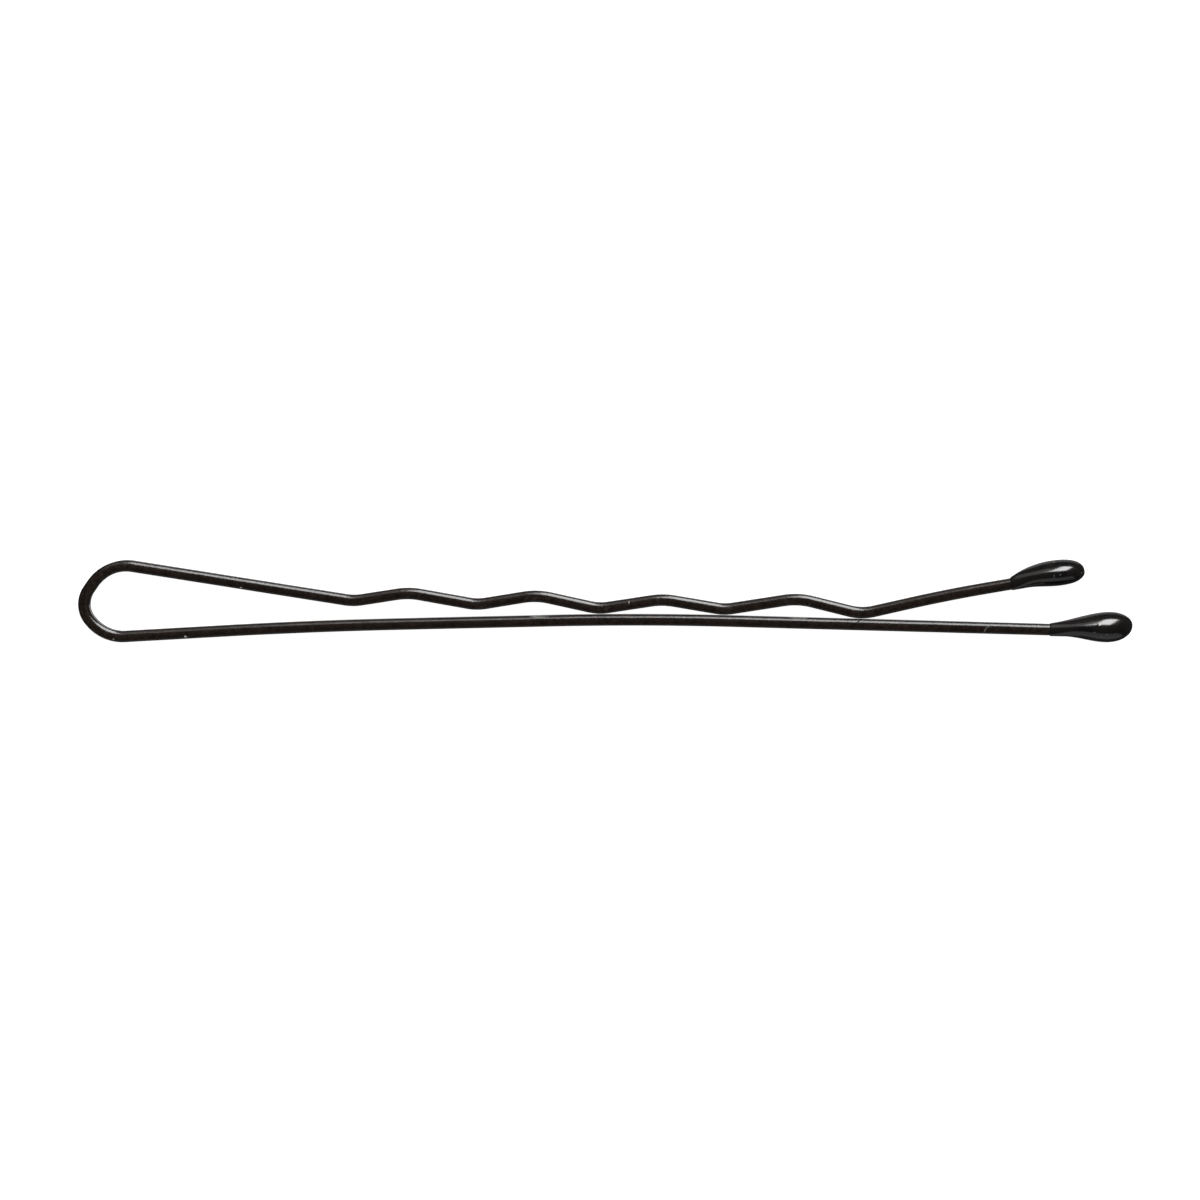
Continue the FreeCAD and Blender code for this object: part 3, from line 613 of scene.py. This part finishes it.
def sweep_strip(name, points, bent, tree, lacquer):
    """A stretch of the strip as a plain closed mesh."""
    route = route_object(f"{name}_route", points, bent)
    sweep = route.modifiers.new("sweep", "NODES")
    sweep.node_group = tree
    sizes = {
        "Strip Thickness": STRIP_THICKNESS * MM,
        "Strip Width": STRIP_WIDTH * MM,
        "Edge Depth": EDGE_DEPTH * MM,
        "Edge Steps": EDGE_STEPS,
        "Section Points": SECTION_POINTS,
        "Wave Depth": LACQUER_WAVE["depth"] * MM,
        "Wave Size": LACQUER_WAVE["size"] * MM,
        "Lacquer": lacquer,
    }
    for socket in tree.interface.items_tree:
        if socket.in_out == "INPUT" and socket.name in sizes:
            sweep[socket.identifier] = sizes[socket.name]
    route.update_tag()
    graph = bpy.context.evaluated_depsgraph_get()
    mesh = bpy.data.meshes.new_from_object(route.evaluated_get(graph), depsgraph=graph)
    bpy.data.objects.remove(route)
    mesh.name = name
    close_ends(mesh)
    return add_object(name, mesh)


# The beads


def flat_section_point(angle, half_height, half_width):
    """Point of a section with flat sides and oval edges, by its direction."""
    depth = min(EDGE_DEPTH + TIP_FILM, half_width)
    flat_half = math.copysign(half_width - depth, math.sin(angle))
    return half_height * math.cos(angle), depth * math.sin(angle) + flat_half


def section_ring(half_height, half_width, roundness):
    """Points of a bead's section: the strip's own section at roundness 0, an oval at 1."""
    ring = []
    for index in range(BEAD_POINTS):
        angle = 2 * math.pi * (index + 0.5) / BEAD_POINTS
        flat = flat_section_point(angle, half_height, half_width)
        oval = (half_height * math.cos(angle), half_width * math.sin(angle))
        ring.append([a + (b - a) * roundness for a, b in zip(flat, oval)])
    return ring


def film_at(station):
    """Thickness of the resin where it runs out on the strip, with a rounded lip."""
    back = 1 - min(1.0, station / FILM_LIP)
    return TIP_FILM * math.sqrt(1 - back * back)


def swelling(share, slope):
    """Rise from 0 to 1 that sets out with a slope and ends level."""
    return slope * share * (1 - share) ** 2 + ease(share)


def round_off(station, peak, bead):
    """Fall from 1 at a bead's thickest place to 0 at its end."""
    beyond = min(1.0, max(0.0, (station - peak) / (bead["length"] - peak)))
    return (1 - beyond ** bead["bluntness"]) ** (1 / bead["bluntness"])


def bead_profile(bead, station):
    """Reach of a bead above and below the strip's middle line, and to each side of it."""
    film, end = film_at(station), bead["end_rise"]
    grown_over = swelling(min(1.0, station / bead["over_peak"]), bead["swell"])
    grown_side = swelling(min(1.0, station / bead["side_peak"]), SIDE_SWELL)
    grown_under = ease((station - UNDER_START) / (bead["under_peak"] - UNDER_START))
    over = STRIP_THICKNESS / 2 + film + (bead["over"] - TIP_FILM) * grown_over
    under = STRIP_THICKNESS / 2 + film + (bead["under"] - TIP_FILM) * grown_under
    side = STRIP_WIDTH / 2 + film + (bead["width"] / 2 - STRIP_WIDTH / 2 - TIP_FILM) * grown_side
    over = end + (over - end) * round_off(station, bead["over_peak"], bead)
    under = -end + (under + end) * round_off(station, bead["under_peak"], bead)
    return over, under, side * round_off(station, bead["side_peak"], bead)


def bead_rings(bead):
    """Station, rise and section of each ring of a bead, from the film's edge to just short of its end."""
    peak = bead["side_peak"]
    stations = [peak * (step / NECK_STEPS) ** NECK_CROWDING for step in range(NECK_STEPS)]
    for step in range(DOME_STEPS):
        stations.append(peak + (bead["length"] - peak) * math.sin(math.pi / 2 * step / DOME_STEPS))
    yield 0.0, 0.0, section_ring(STRIP_THICKNESS / 2 - FILM_ROOT, STRIP_WIDTH / 2 - FILM_ROOT, 0.0)
    for station in stations:
        over, under, side = bead_profile(bead, station)
        roundness = ease(EARLY_OVAL * station / peak)
        yield station, (over - under) / 2, section_ring((over + under) / 2, side, roundness)


def painted_glints(bead, collar, angle):
    """Painted glints on the tops of the grains under a bead's resin, as marks."""
    along, across = heading(angle), heading(angle + 90)
    tops = []
    for station, off_middle, _ in bead["nibs"]:
        spot = collar + along * station + across * off_middle
        tops.append({"at": spot, "half": (PAINTED_GLINT_HALF, PAINTED_GLINT_HALF), "turn": 0.0, "strength": PAINTED_GLINT_STRENGTH})
    return tops


def make_uneven(shell, still):
    """Press shallow waves into a bead, except at the points that stay still."""
    for vertex in shell.verts:
        if vertex not in still:
            lump = noise.fractal(vertex.co / (RESIN_WAVE["size"] * MM), 1.0, 2.0, 2)
            depth = RESIN_WAVE["depth"] * MM * min(1.0, max(0.0, 0.5 + lump))
            vertex.co -= vertex.normal * depth


def raise_nibs(shell, bead, collar, along, across):
    """Lift the resin over each grain, on the side that faces up."""
    for vertex in shell.verts:
        if vertex.normal.z <= 0:
            continue
        off_collar = Vector(vertex.co.xy) / MM - collar
        station, off_middle = off_collar.dot(along), off_collar.dot(across)
        for nib_station, nib_off, radius in bead["nibs"]:
            away = math.hypot(station - nib_station, off_middle - nib_off) / radius
            if away < 2:
                vertex.co += vertex.normal * NIB_HEIGHT * MM * math.exp(-away * away)


def dip_bead(name, bead, collar, angle, resin):
    """A drop of resin round the end of a leg, as a closed mesh."""
    along, across = heading(angle), heading(angle + 90)
    shell = bmesh.new()

    def place(station, off_middle, level):
        spot = collar + along * station + across * off_middle
        return shell.verts.new((spot.x * MM, spot.y * MM, (STRIP_LEVEL + level) * MM))

    rings = []
    for station, rise, ring in bead_rings(bead):
        rings.append([place(station, rise + off_middle, level) for off_middle, level in ring])
    end = place(bead["length"], bead["end_rise"], 0.0)
    for before, after in zip(rings, rings[1:]):
        for index in range(BEAD_POINTS):
            beside = (index + 1) % BEAD_POINTS
            shell.faces.new((before[index], before[beside], after[beside], after[index]))
    for index in range(BEAD_POINTS):
        shell.faces.new((rings[-1][index], rings[-1][(index + 1) % BEAD_POINTS], end))
    shell.faces.new(rings[0])
    bmesh.ops.recalc_face_normals(shell, faces=shell.faces)
    shell.normal_update()
    make_uneven(shell, {vertex for ring in rings[:STILL_RINGS] for vertex in ring})
    raise_nibs(shell, bead, collar, along, across)
    for face in shell.faces:
        face.smooth = True
    mesh = bpy.data.meshes.new(name)
    shell.to_mesh(mesh)
    shell.free()
    mesh.materials.append(resin)
    return add_object(name, mesh)


# Putting the pin together


def on_strip(point):
    """A point of a route in the frame, in metres."""
    return (point.x * MM, point.y * MM, STRIP_LEVEL * MM)


def flex(strip, route_start):
    """Bake a leg's placing into its mesh. The route's start is turned into metres, but nothing uses it.
    """
    on_strip(route_start)
    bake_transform(strip)


def build_pin():
    """The strip in three stretches and the two beads; the bow and the beads each on its body."""
    lacquer, tree = lacquered_steel(), strip_tree()
    upper = side_of_bow(UPPER_SIDE, True, CRIMPED_ROOT_ANGLE)
    lower = side_of_bow(LOWER_SIDE, False, SMOOTH_ROOT_ANGLE)
    smooth_route = smooth_leg_route(lower.points[-1])
    crimped_route = crimped_leg_route(upper.points[-1], smooth_route)
    smooth_collar, crimped_collar = smooth_route.points[-1], crimped_route.points[-1]
    # glints painted on the grains under both beads
    painted_glint_marks = painted_glints(SMOOTH_BEAD, smooth_collar, SMOOTH_END_ANGLE)
    painted_glint_marks += painted_glints(CRIMPED_BEAD, crimped_collar, CRIMPED_END_ANGLE)
    resin = tip_resin(painted_glint_marks)
    for route in (smooth_route, crimped_route):
        route.run(TIP_GRIP)
    for side in (upper, lower):
        side.run(SEAM_RUN)

    bow_points = upper.points[:0:-1] + lower.points
    bow = sweep_strip("bow_strip", bow_points, upper.bent[:0:-1] + lower.bent, tree, lacquer)
    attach(bow, "bow")
    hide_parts("spring_bow")

    smooth = sweep_strip("smooth_leg_strip", smooth_route.points, smooth_route.bent, tree, lacquer)
    flex(smooth, smooth_route.points[0])
    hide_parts("straight_leg")

    crimped = sweep_strip("crimped_leg_strip", crimped_route.points, crimped_route.bent, tree, lacquer)
    flex(crimped, crimped_route.points[0])
    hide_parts("wavy_leg")

    smooth_bead = dip_bead("smooth_leg_bead", SMOOTH_BEAD, smooth_collar, SMOOTH_END_ANGLE, resin)
    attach(smooth_bead, "straight_side")
    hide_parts("straight_leg_tip")

    crimped_bead = dip_bead("crimped_leg_bead", CRIMPED_BEAD, crimped_collar, CRIMPED_END_ANGLE, resin)
    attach(crimped_bead, "wavy_side")
    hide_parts("wavy_leg_tip")


# The table, the light and the camera

VIEW_MIDDLE = Vector((-0.235, 0.03, STRIP_LEVEL))
VIEW_WIDTH = 58.04
VIEW_DISTANCE = 600.0
VIEW_LEAN = 1.5  # how far the camera leans towards the crimped leg
VIEW_YAW = 2.0  # the same, towards the tips
TABLE_SIZE = 3000.0
TABLE_GLOW = 1.0
ROOM_GLOW = 0.05


def lay_table():
    """A plain pale table top, lit from within like a light table so that shadows stay faint."""
    mesh = bpy.data.meshes.new("table_top")
    half, level = TABLE_SIZE / 2 * MM, CAD_BOX[0].z
    mesh.from_pydata(
        [(-half, -half, level), (half, -half, level), (half, half, level), (-half, half, level)],
        [],
        [(0, 1, 2, 3)],
    )
    table = add_object("table_top", mesh)
    made, tree, shader, place = new_material("pale_table")
    paper = blended_colour(tree, cloud(tree, place, 4.0), TABLE_GREY, TABLE_PALE)
    wire(tree, paper, shader.inputs["Base Color"])
    shader.inputs["Roughness"].default_value = 0.9
    shader.inputs["Emission Color"].default_value = (1, 1, 1, 1)
    shader.inputs["Emission Strength"].default_value = TABLE_GLOW
    mesh.materials.append(made)
    table.visible_glossy = False
    table.visible_shadow = False


def soft_light(name, azimuth, elevation, distance, size, power):
    """A soft box that faces the pin. Azimuth is from +X towards +Y."""
    lamp = bpy.data.lights.new(name, "AREA")
    lamp.shape = "RECTANGLE"
    lamp.size, lamp.size_y = size[0] * MM, size[1] * MM
    lamp.energy = power
    holder = bpy.data.objects.new(name, lamp)
    flat = heading(azimuth) * math.cos(math.radians(elevation))
    back = Vector((flat.x, flat.y, math.sin(math.radians(elevation))))
    holder.location = back * distance * MM
    holder.rotation_euler = (-back).to_track_quat("-Z", "Y").to_euler()
    bpy.context.scene.collection.objects.link(holder)


def set_light():
    """A tall window beyond the crimped leg, pale cards round the pin, and a dim room."""
    soft_light("window", azimuth=70, elevation=44, distance=1200, size=(552, 916), power=20.5)
    soft_light("side_card", azimuth=109, elevation=45, distance=1500, size=(660, 1150), power=1.5)
    soft_light("near_card", azimuth=268, elevation=8, distance=600, size=(1000, 620), power=0.85)
    soft_light("far_glow", azimuth=90, elevation=-62, distance=340, size=(400, 380), power=0.17)
    world = bpy.data.worlds.new("dim_room")
    world.use_nodes = True
    room = world.node_tree.nodes["Background"]
    room.inputs["Color"].default_value = (1, 1, 1, 1)
    room.inputs["Strength"].default_value = ROOM_GLOW
    bpy.context.scene.world = world
    bpy.context.scene.view_settings.view_transform = "Standard"


def set_camera():
    """A long lens above the pin, leaning a little towards the crimped leg and the tips."""
    lens = bpy.data.cameras.new("overhead_lens")
    lens.lens = lens.sensor_width * VIEW_DISTANCE / VIEW_WIDTH
    lens.clip_start, lens.clip_end = 1 * MM, 10000 * MM
    camera = bpy.data.objects.new("overhead_lens", lens)
    lean, yaw = math.radians(VIEW_LEAN), math.radians(VIEW_YAW)
    back = Vector((math.sin(yaw), math.sin(lean), 1.0)).normalized()
    up = back.cross(Vector((1, 0, 0))).normalized()
    camera.location = (VIEW_MIDDLE + back * VIEW_DISTANCE) * MM
    camera.rotation_euler = Matrix((up.cross(back), up, back)).transposed().to_euler()
    bpy.context.scene.collection.objects.link(camera)
    bpy.context.scene.camera = camera


build_pin()
lay_table()
set_light()
set_camera()
